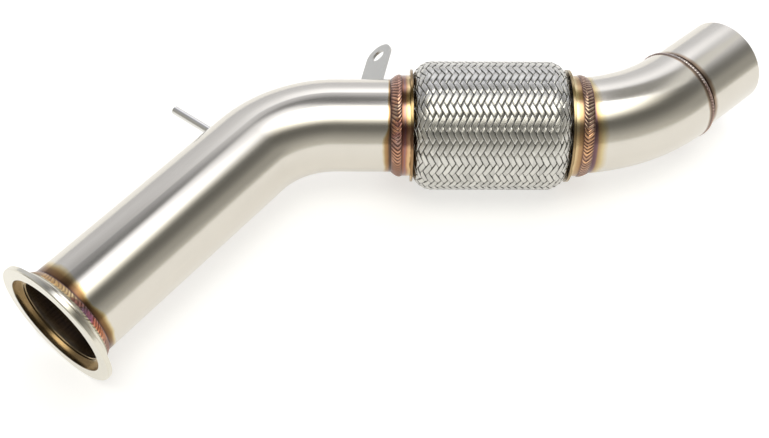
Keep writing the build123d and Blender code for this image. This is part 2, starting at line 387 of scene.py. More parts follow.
# Films run from a weld outwards, as shares of their reach. Hues, spreads and the caps' colours with painted
# reflections run round the joint, as shares of a turn.
BROWNED: Colour = (0.5, 0.4, 0.32)
FLANGE_FILM: Stops = (
    (0.0, (0.11, 0.06, 0.06)), (0.10, (0.22, 0.12, 0.07)), (0.42, (0.34, 0.21, 0.10)),
    (0.62, (0.62, 0.46, 0.24)), (0.80, (0.92, 0.82, 0.58)), (1.0, (1.0, 1.0, 1.0)),
)
FLEX_FILM: Stops = (
    (0.0, (0.10, 0.08, 0.08)), (0.18, (0.20, 0.13, 0.10)), (0.34, (0.48, 0.28, 0.14)),
    (0.60, (0.60, 0.42, 0.22)), (0.82, (0.92, 0.84, 0.66)), (1.0, (1.0, 1.0, 1.0)),
)
FLANGE_SPREAD: Spread = (
    (0.0, 0.50), (0.09, 0.62), (0.13, 0.34), (0.16, 0.42),
    (0.19, 0.80), (0.30, 0.90), (0.60, 0.70), (1.0, 0.50),
)
FLEX_SPREAD: Spread = ((0.0, 0.95), (0.08, 1.0), (0.12, 0.35), (0.38, 0.30), (0.80, 0.80), (1.0, 0.95))
OUTLET_FILM: Stops = (
    (0.0, (0.22, 0.13, 0.17)), (0.16, (0.30, 0.19, 0.22)), (0.28, (0.62, 0.44, 0.24)),
    (0.55, (0.90, 0.78, 0.50)), (1.0, (1.0, 1.0, 1.0)),
)
SEAM_FILM: Stops = (
    (0.0, (0.14, 0.10, 0.09)), (0.42, (0.24, 0.18, 0.15)), (0.70, (0.55, 0.44, 0.36)),
    (1.0, (1.0, 1.0, 1.0)),
)
CAP_FILMS: dict[Side, Stops] = {
    Side.INLET: (
        (0.0, (0.24, 0.13, 0.11)), (0.12, (0.44, 0.25, 0.20)), (0.24, (0.40, 0.30, 0.38)),
        (0.34, (0.60, 0.38, 0.28)), (0.46, (0.85, 0.72, 0.46)), (0.60, (0.95, 0.86, 0.56)),
        (0.68, (0.34, 0.27, 0.16)), (0.80, (0.50, 0.41, 0.25)), (0.90, (0.30, 0.24, 0.15)),
        (1.0, (0.46, 0.38, 0.25)),
    ),
    Side.OUTLET: (
        (0.0, (0.30, 0.19, 0.14)), (0.14, (0.58, 0.42, 0.27)), (0.30, (0.66, 0.50, 0.34)),
        (0.45, (0.86, 0.76, 0.54)), (0.62, (0.92, 0.84, 0.62)), (0.69, (0.38, 0.31, 0.20)),
        (0.80, (0.60, 0.52, 0.36)), (0.90, (0.34, 0.28, 0.19)), (1.0, (0.50, 0.42, 0.29)),
    ),
}
# Round each cap these are oxide hues with a painted highlight (stops near 1) and painted dark reflection
# bands laid in at the angles of the reflected stripes.
CAP_HUES_AND_PAINTED_REFLECTIONS: dict[Side, Stops] = {
    Side.INLET: (
        (0.0, (0.95, 0.74, 0.66)), (0.055, (0.90, 0.70, 0.66)), (0.070, (0.48, 0.34, 0.36)),
        (0.120, (0.46, 0.30, 0.30)), (0.136, (1.0, 0.92, 0.80)), (0.190, (1.0, 0.94, 0.82)),
        (0.208, (0.34, 0.27, 0.17)), (0.236, (0.34, 0.27, 0.17)), (0.262, (0.90, 0.80, 0.74)),
        (0.40, (0.72, 0.62, 0.56)), (0.86, (1.0, 0.94, 0.86)), (1.0, (0.95, 0.74, 0.66)),
    ),
    Side.OUTLET: (
        (0.0, (0.92, 0.82, 0.72)), (0.10, (0.80, 0.68, 0.58)), (0.136, (1.0, 0.96, 0.90)),
        (0.200, (1.0, 0.96, 0.90)), (0.215, (0.44, 0.40, 0.28)), (0.240, (0.44, 0.40, 0.28)),
        (0.265, (0.96, 0.92, 0.84)), (0.40, (0.80, 0.74, 0.66)), (0.86, (1.0, 0.96, 0.90)),
        (1.0, (0.92, 0.82, 0.72)),
    ),
}
FLEX_BEAD_HUES: dict[Side, Stops] = {
    Side.INLET: (
        (0.0, (0.72, 0.40, 0.24)), (0.045, (0.62, 0.32, 0.20)), (0.07, (0.40, 0.26, 0.22)),
        (0.10, (0.46, 0.20, 0.17)), (0.14, (0.80, 0.42, 0.24)), (0.17, (0.86, 0.66, 0.50)),
        (0.20, (0.84, 0.46, 0.28)), (0.26, (0.76, 0.44, 0.32)), (0.32, (0.58, 0.38, 0.30)),
        (0.45, (0.40, 0.27, 0.22)), (0.60, (0.56, 0.33, 0.18)), (0.75, (0.38, 0.22, 0.18)),
        (0.88, (0.44, 0.29, 0.22)), (1.0, (0.50, 0.27, 0.16)),
    ),
    Side.OUTLET: (
        (0.0, (0.62, 0.40, 0.26)), (0.03, (0.84, 0.50, 0.27)), (0.095, (0.80, 0.46, 0.24)),
        (0.115, (0.46, 0.32, 0.22)), (0.18, (0.72, 0.58, 0.42)), (0.22, (0.54, 0.39, 0.26)),
        (0.32, (0.52, 0.38, 0.29)), (0.60, (0.50, 0.34, 0.24)), (0.90, (0.46, 0.34, 0.28)),
        (1.0, (0.62, 0.40, 0.26)),
    ),
}
FLANGE_BEAD_HUES: Stops = (
    (0.0, (0.36, 0.22, 0.17)), (0.03, (0.62, 0.30, 0.17)), (0.06, (0.74, 0.28, 0.13)),
    (0.085, (0.52, 0.13, 0.14)), (0.11, (0.30, 0.13, 0.22)), (0.13, (0.17, 0.13, 0.15)),
    (0.15, (0.34, 0.15, 0.11)), (0.168, (0.30, 0.16, 0.10)), (0.18, (0.84, 0.66, 0.36)),
    (0.24, (0.72, 0.46, 0.18)), (0.32, (0.38, 0.25, 0.13)), (0.45, (0.34, 0.26, 0.20)),
    (0.62, (0.60, 0.40, 0.20)), (0.80, (0.38, 0.22, 0.18)), (1.0, (0.36, 0.22, 0.17)),
)
SEAM_BEAD_HUES: Stops = (
    (0.0, (0.56, 0.40, 0.30)), (0.08, (0.42, 0.30, 0.25)), (0.13, (0.34, 0.27, 0.25)),
    (0.17, (0.74, 0.68, 0.64)), (0.28, (0.78, 0.72, 0.68)), (0.38, (0.50, 0.40, 0.35)),
    (0.70, (0.48, 0.36, 0.28)), (1.0, (0.56, 0.40, 0.30)),
)


@dataclass(frozen=True)
class Tint:
    """Oxide colours that a weld leaves on the steel beside it.

    The spread is how far they reach at places round the tube, as shares of a turn and of the whole reach.
    """

    station: float
    reach: float
    stops: Stops
    spread: Spread = ()

    def lay(
        self, bench: Bench, along: Number, wobble: Number, turn: Number, colour: Input
    ) -> bpy.types.NodeSocket:
        """Lays the colours over the steel.

        Args:
            bench: The material's node tree.
            along: Length along the tube.
            wobble: Noise that makes the edge uneven.
            turn: Place round the tube, as a share of a turn from the level towards the camera's side.
            colour: The steel's colour.

        Returns:
            The tinted colour.
        """
        away = abs(along - self.station) / self.reach * (0.6 + 0.8 * wobble)
        if self.spread:
            stops = [(place, (share, share, share)) for place, share in self.spread]
            away = away / Number(bench, bench.ramp(turn, stops))
        return bench.mix(1.0, colour, bench.ramp(away.clamp(0.0, 1.0), self.stops), "MULTIPLY")


@dataclass(frozen=True)
class BrushedTube(Metal):
    """Stainless tube, polished lengthwise with a fine abrasive, with heat tint beside its welds."""

    route: Route
    tints: tuple[Tint, ...]
    bore: float = 0.0
    colour: Colour = (0.66, 0.625, 0.56)
    soot_and_reflection: Colour = (0.92, 0.80, 0.76)
    gloss: float = 0.17
    scratch_scale: float = 1600.0
    broad_scale: float = 260.0
    cloud_scale: float = 55.0
    relief: float = 0.012 * MM

    def surface(self, bench: Bench) -> Surface:
        """Polishes the tube and tints it.

        Args:
            bench: The material's node tree.

        Returns:
            Colour, roughness and normal.
        """
        along, side, height = self.route.coordinates(bench)
        turn = height.turn(side * float(self.route.turn))
        streaks = bench.noise(bench.vector(side, height, along * 0.02), self.scratch_scale, 3.0, 0.6)
        broad = bench.noise(bench.vector(side, height, along * 0.12), self.broad_scale)
        cloud = bench.noise(bench.vector(side, height, along), self.cloud_scale, 3.0, 0.55)
        colour = bench.shade(self.colour, 0.94 + 0.08 * streaks + 0.05 * cloud)
        for tint in self.tints:
            colour = tint.lay(bench, along, cloud, turn, colour)
        rough = self.gloss - 0.05 + 0.06 * streaks + 0.05 * broad
        if self.bore:
            reach = (side * side + height * height) ** 0.5
            inside = reach.step(self.bore + 0.6 * MM, self.bore + 0.2 * MM)
            # Painted reflection over soot: inside the bore, clouds of the lining are lifted to near full
            # brightness to stand for the bright room seen through the opening, and the rest stays dark soot.
            soot_and_painted_reflection = bench.shade(self.soot_and_reflection, (0.1 + 1.8 * cloud).clamp(0.2, 1.05))
            colour = bench.mix(inside, colour, soot_and_painted_reflection)
            rough = rough + inside * 0.22
        return colour, rough, bench.bump(streaks * 0.6 + broad * 0.4, self.relief)


@dataclass(frozen=True)
class TurnedRing(Metal):
    """Steel turned on a lathe: fine rings round an axis, and tint towards one end."""

    origin: tuple[float, float] = (0.0, 0.0)
    heading: float = 0.0
    colour: Colour = (0.70, 0.67, 0.58)
    tint: Tint | None = None
    around: Stops = ()
    bore: float = 0.0
    bore_film: Colour = (0.64, 0.52, 0.36)
    gloss: float = 0.2
    ring_scale: float = 2600.0
    cloud_scale: float = 70.0
    relief: float = 0.02 * MM

    def surface(self, bench: Bench) -> Surface:
        """Turns the ring and tints it.

        Args:
            bench: The material's node tree.

        Returns:
            Colour, roughness and normal.
        """
        x, y, z = bench.place()
        angle = math.radians(self.heading)
        east, north = x - self.origin[0], y - self.origin[1]
        along = east * math.cos(angle) + north * math.sin(angle)
        side = north * math.cos(angle) - east * math.sin(angle)
        reach = (side * side + z * z) ** 0.5
        turn = z.turn(-1.0 * side)
        cuts = bench.noise(bench.vector(reach, along, 0.0), self.ring_scale, 2.0, 0.6)
        cloud = bench.noise(bench.vector(along, side, z), self.cloud_scale, 3.0, 0.6)
        colour = bench.shade(self.colour, 0.92 + 0.1 * cuts + 0.06 * cloud)
        if self.tint is not None:
            colour = self.tint.lay(bench, along, cloud, turn, colour)
        # On the caps these colours round the axis are oxide hues with a painted highlight and painted dark
        # reflection bands.
        if self.around:
            place = turn + (cloud - 0.5) * 0.03
            colour = bench.mix(1.0, colour, bench.ramp(place.clamp(0.0, 1.0), self.around), "MULTIPLY")
        if self.bore:
            inside = reach.step(self.bore + 0.5 * MM, self.bore + 0.1 * MM) * along.step(0.1 * MM, 0.9 * MM)
            colour = bench.mix(inside, colour, self.bore_film, "MULTIPLY")
        return colour, self.gloss - 0.04 + 0.08 * cuts, bench.bump(cuts, self.relief)


@dataclass(frozen=True)
class WeldMetal(Metal):
    """Weld bead whose oxide colours drift round the joint, darker along its toes and between ripples."""

    around: Stops
    toe: Colour = (0.22, 0.15, 0.13)
    shadow: Colour = (0.14, 0.07, 0.06)
    collar: float = 0.0
    collar_steel: Colour = (0.66, 0.60, 0.44)
    collar_lines: int = 3
    groove: float = 1.2
    drift: float = 0.05
    gloss: float = 0.22
    cloud_scale: float = 120.0
    grain_scale: float = 1100.0
    relief: float = 0.05 * MM

    def surface(self, bench: Bench) -> Surface:
        """Colours the bead.

        Args:
            bench: The material's node tree.

        Returns:
            Colour, roughness and normal.
        """
        turn, across, _ = bench.place("UV")
        point = bench.vector(*bench.place())
        cloud = bench.noise(point, self.cloud_scale, 3.0, 0.6)
        grain = bench.noise(point, self.grain_scale, 3.0, 0.6)
        hue = (turn + (cloud - 0.5) * self.drift * 4.0).clamp(0.0, 1.0)
        metal = bench.shade(bench.ramp(hue, self.around), 0.72 + 0.56 * grain)
        edge = (abs(across - 0.5) + (cloud - 0.5) * 0.16).step(0.30, 0.50)
        colour = bench.mix(edge, metal, self.toe)
        colour = bench.mix((bench.ripples() * self.groove).clamp(0.0, 1.0), colour, self.shadow)
        if self.collar:
            turned = across.step(self.collar + 0.04, self.collar - 0.02)
            lines = (across * (FULL_TURN * self.collar_lines / self.collar)).maths("COSINE")
            colour = bench.mix(turned, colour, bench.shade(self.collar_steel, 0.66 + 0.34 * lines))
        return colour, self.gloss - 0.08 + 0.16 * grain, bench.bump(grain, self.relief)


@dataclass(frozen=True)
class WireBand(Metal):
    """Flat band of fine bright wires that lie side by side.

    A float is the stretch between two dips under the other bands, and each shines in its own way.
    """

    colour: Colour = (0.67, 0.655, 0.61)
    wires: int = 9
    facet_step: float = 3.7
    relief: float = 0.03 * MM

    def surface(self, bench: Bench) -> Surface:
        """Lays the wires side by side, with painted shade along the band's edges and between its wires.

        Args:
            bench: The material's node tree.

        Returns:
            Colour, roughness and normal.
        """
        across, along, _ = bench.place("UV")
        wave = (across * (FULL_TURN * self.wires)).maths("COSINE")
        drift = bench.noise(bench.vector(across * self.wires, along * 0.35, 0.0), 1.0)
        float_number = (along * 0.5 + 0.25).maths("FLOOR")
        facet = bench.noise(bench.vector(float_number * self.facet_step, 0.5, 0.5), 1.0, 0.0)
        # Painted shade: each band is darkened towards its edges, where it borders the gaps between bands, and
        # a little along the grooves between its wires.
        edge = abs(across - 0.5).step(0.445, 0.492)
        bright = (0.80 + 0.24 * drift + 0.36 * (facet - 0.5)) * (1.0 - 0.10 * wave.clamp(0.0, 1.0))
        colour = bench.shade(self.colour, bright * (1.0 - 0.85 * edge))
        rough = 0.10 + 0.08 * drift + 0.10 * facet
        return colour, rough, bench.bump(0.5 - 0.5 * wave, self.relief)


@dataclass(frozen=True)
class MillPlate(Metal):
    """Cut plate or drawn tube with a plain mill finish."""

    colour: Colour = (0.56, 0.555, 0.53)
    gloss: float = 0.34
    grain_scale: float = 1500.0
    cloud_scale: float = 90.0
    relief: float = 0.012 * MM

    def surface(self, bench: Bench) -> Surface:
        """Lays a fine grain and faint clouds.

        Args:
            bench: The material's node tree.

        Returns:
            Colour, roughness and normal.
        """
        point = bench.vector(*bench.place())
        grain = bench.noise(point, self.grain_scale, 3.0, 0.6)
        cloud = bench.noise(point, self.cloud_scale)
        colour = bench.shade(self.colour, 0.9 + 0.1 * grain + 0.1 * cloud)
        return colour, self.gloss - 0.08 + 0.16 * cloud, bench.bump(grain, self.relief)


def dress(node: str, material: bpy.types.Material) -> None:
    """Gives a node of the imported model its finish.

    Args:
        node: The node's name.
        material: Its new material.
    """
    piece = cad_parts[node]
    piece.data.materials.clear()
    piece.data.materials.append(material)
    log.info("%s: dressed with %s", node, material.name)


def add_piece(
    name: str,
    points: Array,
    faces: Array,
    uv: Array,
    material: bpy.types.Material,
    stands_for: Sequence[str],
    ripple: Array | None = None,
) -> bpy.types.Object:
    """Adds one mesh piece that rides on the pipe.

    Args:
        name: The piece's name.
        points: Its vertices, one row each.
        faces: Its four-sided faces, as rows of vertex numbers.
        uv: UV place of each vertex.
        material: Its finish.
        stands_for: Nodes that it replaces.
        ripple: A second UV place of each vertex.

    Returns:
        The object.
    """
    mesh = bpy.data.meshes.new(name)
    mesh.from_pydata(points.tolist(), [], faces.tolist())
    mesh.validate()
    corners = np.empty(len(mesh.loops), np.int32)
    mesh.loops.foreach_get("vertex_index", corners)
    for layer, places in (("UVMap", uv), (RIPPLE_MAP, ripple)):
        if places is not None:
            flat = places[corners].astype(np.float32).ravel()
            mesh.uv_layers.new(name=layer).data.foreach_set("uv", flat)
    mesh.polygons.foreach_set("use_smooth", np.ones(len(mesh.polygons), bool))
    mesh.materials.append(material)
    mesh.update()
    piece = bpy.data.objects.new(name, mesh)
    bpy.context.scene.collection.objects.link(piece)
    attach(piece, BODY)
    if stands_for:
        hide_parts(*stands_for)
    log.info("%s: %d vertices, %d faces", name, len(mesh.vertices), len(mesh.polygons))
    return piece


def grid_faces(rows: int, columns: int, round_rows: bool) -> Array:
    """Faces of a grid of vertices whose last column meets the first.

    Args:
        rows: Vertices one way.
        columns: Vertices the other way.
        round_rows: Whether the last row meets the first as well.

    Returns:
        One row of four vertex numbers for each face.
    """
    row = np.arange(rows if round_rows else rows - 1)[:, None]
    column = np.arange(columns)[None, :]
    next_row, next_column = (row + 1) % rows, (column + 1) % columns
    corners = (row * columns + column, row * columns + next_column)
    beyond = (next_row * columns + next_column, next_row * columns + column)
    return np.stack([*corners, *beyond], -1).reshape(-1, 4)


@dataclass(frozen=True)
class Spindle:
    """A level axis that rings and bands are wound round. Angle 0 is level, and 90 degrees is up."""

    origin: tuple[float, float]
    heading: float

    def point(self, along: Array, radius: Array, angle: Array) -> Array:
        """Points given by their place along the axis, their radius and their angle round it.

        Args:
            along: Lengths along the axis.
            radius: Distances from the axis.
            angle: Angles in radians.

        Returns:
            The points, with their coordinates last.
        """
        turn = math.radians(self.heading)
        level = radius * np.cos(angle)
        x = self.origin[0] + along * math.cos(turn) + level * math.sin(turn)
        y = self.origin[1] + along * math.sin(turn) - level * math.cos(turn)
        return np.stack([x, y, radius * np.sin(angle)], -1)


FLEX = Spindle((293.248 * MM, -111.080 * MM), -INLET_SWEEP)
OUTLET = Spindle((397.993 * MM, -198.832 * MM), OUTLET_SWEEP - INLET_SWEEP)
INLET = Spindle((0.0, 0.0), 0.0)


@dataclass(frozen=True)
class Bead:
    """Weld bead laid round a joint as overlapping ripples, each bowed along the joint.

    A ripple climbs over the first share of its length and drops over the rest. The start, top and end are
    places along the axis with their radii, and the foot sinks into the joint.
    """

    name: str
    node: str
    spindle: Spindle
    start: tuple[float, float]
    top: tuple[float, float]
    end: tuple[float, float]
    ripple: float = 2.8 * MM
    depth: float = 0.62 * MM
    bow: float = 3.2 * MM
    seed: int = 1
    sink: float = 0.35 * MM
    across: int = 22
    samples: int = 11
    climb: float = 0.72

    def section(self, share: Array) -> tuple[Array, Array]:
        """Smooth outline of the bead.

        Args:
            share: Places across it, from 0 to 1.

        Returns:
            Lengths along the axis, and radii.
        """
        (a0, r0), (a1, r1), (a2, r2) = self.start, self.top, self.end
        middle = ((a1 - 0.25 * (a0 + a2)) * 2, (r1 - 0.25 * (r0 + r2)) * 2)
        inverse = 1 - share
        return (
            inverse**2 * a0 + 2 * inverse * share * middle[0] + share**2 * a2,
            inverse**2 * r0 + 2 * inverse * share * middle[1] + share**2 * r2,
        )

    @staticmethod
    def wander(
        chance: np.random.Generator, angle: Array, sizes: tuple[float, float], waves: Sequence[int]
    ) -> Array:
        """Uneven line round the joint, as a sum of waves of random size and place.

        Args:
            chance: Source of the random values.
            angle: Angles round the joint.
            sizes: Least and greatest size of a wave.
            waves: How many of each wave go round.

        Returns:
            One value for each angle.
        """
        return sum(chance.uniform(*sizes) * np.sin(n * angle + chance.uniform(0, 6.28)) for n in waves)

    def build(self, material: bpy.types.Material) -> bpy.types.Object:
        """Builds the bead in place of its plain solid.

        Args:
            material: Its finish.

        Returns:
            The bead.
        """
        chance = np.random.default_rng(self.seed)
        count = round(FULL_TURN * self.top[1] / self.ripple)
        around = count * self.samples
        angle = np.linspace(0, FULL_TURN, around, endpoint=False)[:, None]
        share = np.linspace(0, 1, self.across)[None, :]
        along, radius = self.section(share)
        swell = 1 - (2 * share - 1) ** 2
        pace = self.wander(chance, angle, (0.05, 0.16), (2, 3, 5, 9, 14))
        peak = 0.35 * swell + 0.65 * (1 - abs(2 * share - 1))
        phase = angle / FULL_TURN * count + pace + peak * self.bow / self.ripple
        number = np.floor(phase).astype(int) % count
        part = phase - np.floor(phase)
        rise = np.sin(part / self.climb * math.pi / 2)
        fall = np.cos((part - self.climb) / (1 - self.climb) * math.pi / 2)
        heights = chance.uniform(0.65, 1.0, count)[number]
        groove = 1 - np.where(part < self.climb, rise, fall) * heights
        drop = self.depth * groove * swell**0.5
        waver = self.wander(chance, angle, (0.03, 0.09), (3, 7, 13, 22))
        along = along + (self.end[0] - self.start[0]) * waver * share * 0.35 * (1 - share)
        outer = self.spindle.point(along + 0 * angle, radius - drop, angle + 0 * share)
        foot_along = np.array([[self.end[0], self.start[0]]])
        foot_radius = np.array([[min(self.end[1], self.start[1]) - self.sink] * 2])
        foot = self.spindle.point(foot_along + 0 * angle, foot_radius + 0 * angle, angle + 0 * foot_along)
        points = np.concatenate([outer, foot], 1)
        columns = self.across + 2
        across = np.concatenate([share, [[1.0, 0.0]]], 1)
        uv = np.stack(np.broadcast_arrays(angle / FULL_TURN, across), -1)
        depths = np.concatenate([groove, np.zeros((around, 2))], 1).reshape(-1, 1)
        return add_piece(
            self.name,
            points.reshape(-1, 3),
            grid_faces(around, columns, True),
            uv.reshape(-1, 2),
            material,
            (self.node,),
            np.repeat(depths, 2, 1),
        )


@dataclass(frozen=True)
class Braid:
    """Plaited sleeve: flat bands wound both ways, each over two and under two of the others."""

    spindle: Spindle = FLEX
    bands: int = 32
    radius: float = 44.0 * MM
    half_length: float = 52.5 * MM
    shoulder: float = 9.5 * MM
    slope: float = 1.5 * MM
    tails: tuple[float, float] = (34.15 * MM, 35.4 * MM)
    lay: float = 1.94 / (44.0 * MM)
    turn: float = math.radians(0.6)
    lift: float = 0.45 * MM
    crown: float = 0.055 * MM
    thickness: float = 0.3 * MM
    fill: float = 0.965
    across: int = 6
    step: float = 0.14
    flat: float = 2.8
    uv_shift: float = 7.3

    def shoulder_line(self, side: Side, tail: float) -> list[tuple[float, float]]:
        """Rounded shoulder from the sleeve's long side down to its tail at one end.

        Args:
            side: Which end.
            tail: Radius of the tail's tip.

        Returns:
            Places along the axis with their radii.
        """
        end = side.value * (self.half_length - 0.1 * MM)
        foot = np.array([end, tail])
        knee = np.array([end - side.value * self.slope, self.radius])
        rise = (foot - knee) / np.linalg.norm(foot - knee)
        inward = np.array([-side.value * 1.0, 0.0])
        turn = math.acos(float(np.clip(np.dot(-rise, inward), -1, 1)))
        length = self.shoulder / math.tan(turn / 2)
        begin, finish = knee + inward * length, knee + rise * length
        share = np.linspace(0, 1, 40)[:, None]
        weight = math.sin(turn / 2)
        top = (1 - share) ** 2 * begin + 2 * weight * share * (1 - share) * knee + share**2 * finish
        arc = top / ((1 - share) ** 2 + 2 * weight * share * (1 - share) + share**2)
        return [tuple(p) for p in arc] + [tuple(foot)]

    def outline(self) -> tuple[Array, Array, Array]:
        """Half section of the sleeve, from tail to tail.

        Returns:
            Arc length from the middle, place along the axis, and radius.
        """
        left = self.shoulder_line(Side.INLET, self.tails[0])[::-1]
        line = np.array(left + self.shoulder_line(Side.OUTLET, self.tails[1]))
        length = np.concatenate([[0], np.cumsum(np.linalg.norm(np.diff(line, axis=0), axis=1))])
        middle = np.interp(0.0, line[:, 0], length)
        return length - middle, line[:, 0], line[:, 1]

    def over(self, value: Array) -> Array:
        """Height of a band that runs along a lattice, from -1 under to 1 over."""
        return np.tanh(self.flat * np.cos(math.pi / 2 * value)) / math.tanh(self.flat)

    def build(
        self, lean: Lean, material: bpy.types.Material, stands_for: Sequence[str]
    ) -> bpy.types.Object:
        """Builds all the bands that wind one way.

        Args:
            lean: Which way they wind.
            material: Their finish.
            stands_for: Nodes that they replace.

        Returns:
            The piece.
        """
        length, place, radius = self.outline()
        lines = (place, radius, np.gradient(place, length), np.gradient(radius, length))
        end = min(-length[0], length[-1])
        per_metre = self.bands * self.lay / math.pi
        rows = int(2 * end * per_metre / self.step) + 1
        t_line = np.linspace(-end, end, rows)
        top = np.linspace(-0.5, 0.5, self.across) * self.fill
        under = top[::-1][1:-1:2]
        spread = np.concatenate([top, under])
        all_points, all_uv, all_faces = [], [], []
        faces = grid_faces(rows, spread.size, False)
        for band in range(self.bands):
            own = band + spread[None, :]
            ramp = t_line[:, None] * per_metre
            a, b = (own, own + ramp) if lean is Lean.UP else (own - ramp, own)
            angle = (a + b) * math.pi / self.bands + self.turn
            t = (b - a) / per_metre
            crossing = (b if lean is Lean.UP else a) + band - 0.5
            height = self.over(crossing) * lean.value * self.lift
            height = height - self.crown * np.abs(2 * spread / self.fill)[None, :] ** 2.5
            height[:, self.across:] -= self.thickness
            height = height - self.lift
            base, level, run, rise = (np.interp(t, length, line) for line in lines)
            points = self.spindle.point(base - rise * height, level + run * height, angle - math.pi)
            all_faces.append(faces + len(all_points) * rows * spread.size)
            all_points.append(points.reshape(-1, 3))
            uv = np.broadcast_arrays(spread[None, :] / self.fill + 0.5, ramp + band * self.uv_shift)
            all_uv.append(np.stack(uv, -1).reshape(-1, 2))
        return add_piece(
            f"braid_bands_{lean.name.lower()}",
            np.concatenate(all_points),
            np.concatenate(all_faces),
            np.concatenate(all_uv),
            material,
            stands_for,
        )


@dataclass(frozen=True)
class InletRun:
    """Flange, its bead, the bent inlet pipe, and the bracket and pressure pipe behind it."""

    pipe_bore: float = 29.75 * MM
    register: float = 35.7 * MM
    flange_bead: Bead = Bead(
        "flange_bead",
        "flange_weld",
        INLET,
        (7.0 * MM, 35.3 * MM),
        (9.6 * MM, 33.9 * MM),
        (FLANGE_TOE, INLET_RADIUS),
        seed=3,
    )

    def build(self) -> None:
        """Dresses the nodes and lays the bead."""
        tints = (
            Tint(FLANGE_TOE, 11 * MM, FLANGE_FILM, FLANGE_SPREAD),
            Tint(FLEX_TOE, 6 * MM, FLEX_FILM, FLEX_SPREAD),
        )
        dress("inlet_pipe", BrushedTube("inlet_tube_steel", INLET_ROUTE, tints, self.pipe_bore).make())
        dress("vband_flange", TurnedRing("flange_steel", bore=self.register).make())
        metal = WeldMetal("flange_bead_metal", FLANGE_BEAD_HUES, collar=0.32, groove=0.7, drift=0.03)
        self.flange_bead.build(metal.make())
        dress("bracket", MillPlate("bracket_plate").make())
        dress("bracket_weld", MillPlate("fillet_metal", BROWNED).make())
        dress("pressure_pipe", MillPlate("pressure_pipe_steel", (0.70, 0.69, 0.66), 0.2).make())
        dress("pressure_weld", MillPlate("nipple_bead_metal", BROWNED).make())


@dataclass(frozen=True)
class FlexJoint:
    """Braid, bellows and liner between two caps, with a bead at each end."""

    half_length: float = 52.5 * MM
    cap_length: float = 7.5 * MM
    bead_width: float = 7.5 * MM
    collar_radius: float = 34.5 * MM
    bead_radius: float = 34.9 * MM
    cap_steel: Colour = (0.78, 0.74, 0.66)

    def bead(self, side: Side, pipe_radius: float) -> Bead:
        """Plans the bead at one end.

        Args:
            side: Which end.
            pipe_radius: Radius of the pipe there.

        Returns:
            The bead.
        """
        near = self.half_length + self.cap_length
        places = [side.value * (near + self.bead_width * share) for share in (0.0, 0.4, 1.0)]
        return Bead(
            f"{side.name.lower()}_flex_bead",
            f"{side.name.lower()}_flex_weld",
            FLEX,
            (places[0], self.collar_radius),
            (places[1], self.bead_radius),
            (places[2], pipe_radius),
            seed=5 + side.value,
            sink=1.0 * MM,
        )

    def build(self) -> None:
        """Dresses the nodes, lays the beads and winds the braid."""
        for side, radius in ((Side.INLET, INLET_RADIUS), (Side.OUTLET, OUTLET_RADIUS)):
            edge = side.value * (self.half_length + self.cap_length)
            name = side.name.lower()
            tint = Tint(edge, 8.5 * MM, CAP_FILMS[side])
            cap = TurnedRing(
                f"{name}_cap_steel", FLEX.origin, FLEX.heading, self.cap_steel, tint, CAP_HUES_AND_PAINTED_REFLECTIONS[side]
            )
            dress(f"{name}_end_cap", cap.make())
            self.bead(side, radius).build(WeldMetal(f"{name}_bead_metal", FLEX_BEAD_HUES[side]).make())
        dress("bellows", MillPlate("bellows_steel", (0.45, 0.44, 0.42), 0.3).make())
        dress("interlock_liner", MillPlate("liner_steel", (0.5, 0.49, 0.47), 0.3).make())
        wire = WireBand("braid_wire_bands").make()
        braid = Braid()
        braid.build(Lean.UP, wire, ("braid_sleeve",))
        braid.build(Lean.DOWN, wire, ())


@dataclass(frozen=True)
class OutletRun:
    """Outlet bend, the seam after it, and the slip stub."""

    seam: Bead = Bead(
        "outlet_seam_bead",
        "outlet_weld",
        OUTLET,
        (-1.2 * MM, 32.9 * MM),
        (0.4 * MM, 33.6 * MM),
        (2.8 * MM, 31.0 * MM),
        ripple=2.2 * MM,
        depth=0.5 * MM,
        bow=0.9 * MM,
        seed=11,
        sink=0.6 * MM,
        across=16,
    )

    def build(self) -> None:
        """Dresses the nodes and lays the seam."""
        tints = (Tint(OUTLET_TOE, 7.5 * MM, OUTLET_FILM), Tint(SEAM_STATION, 3.5 * MM, SEAM_FILM))
        dress("outlet_bend", BrushedTube("outlet_tube_steel", OUTLET_ROUTE, tints).make())
        stub_tint = Tint(SEAM_STATION, 8 * MM, SEAM_FILM)
        dress("outlet_stub", BrushedTube("stub_steel", OUTLET_ROUTE, (stub_tint,)).make())
        self.seam.build(WeldMetal("seam_bead_metal", SEAM_BEAD_HUES, (0.30, 0.22, 0.19), groove=0.8).make())


@dataclass(frozen=True)
class SoftBox:
    """Soft-edged light or dark panel of the studio, far from the pipe, with its place in degrees.

    Azimuth 0 is away from the camera and 90 is to the right. The edges are the widths of the soft borders.
    """

    glow: float
    azimuth: float
    half_width: float
    side_edge: float
    low: float
    high: float
    edge: float

    def cover(self, turn: Number, climb: Number) -> Number:
        """How much of the panel is seen in a direction.

        Args:
            turn: The direction's azimuth, in degrees.
            climb: Its elevation, in degrees.

        Returns:
            A share from 0 to 1.
        """
        off = abs((turn - self.azimuth).maths("WRAP", 180.0, -180.0))
        side, rim = self.side_edge / 2, self.edge / 2
        across = off.step(self.half_width + side, self.half_width - side)
        above = climb.step(self.low - rim, self.low + rim)
        return across * above * climb.step(self.high + rim, self.high - rim)


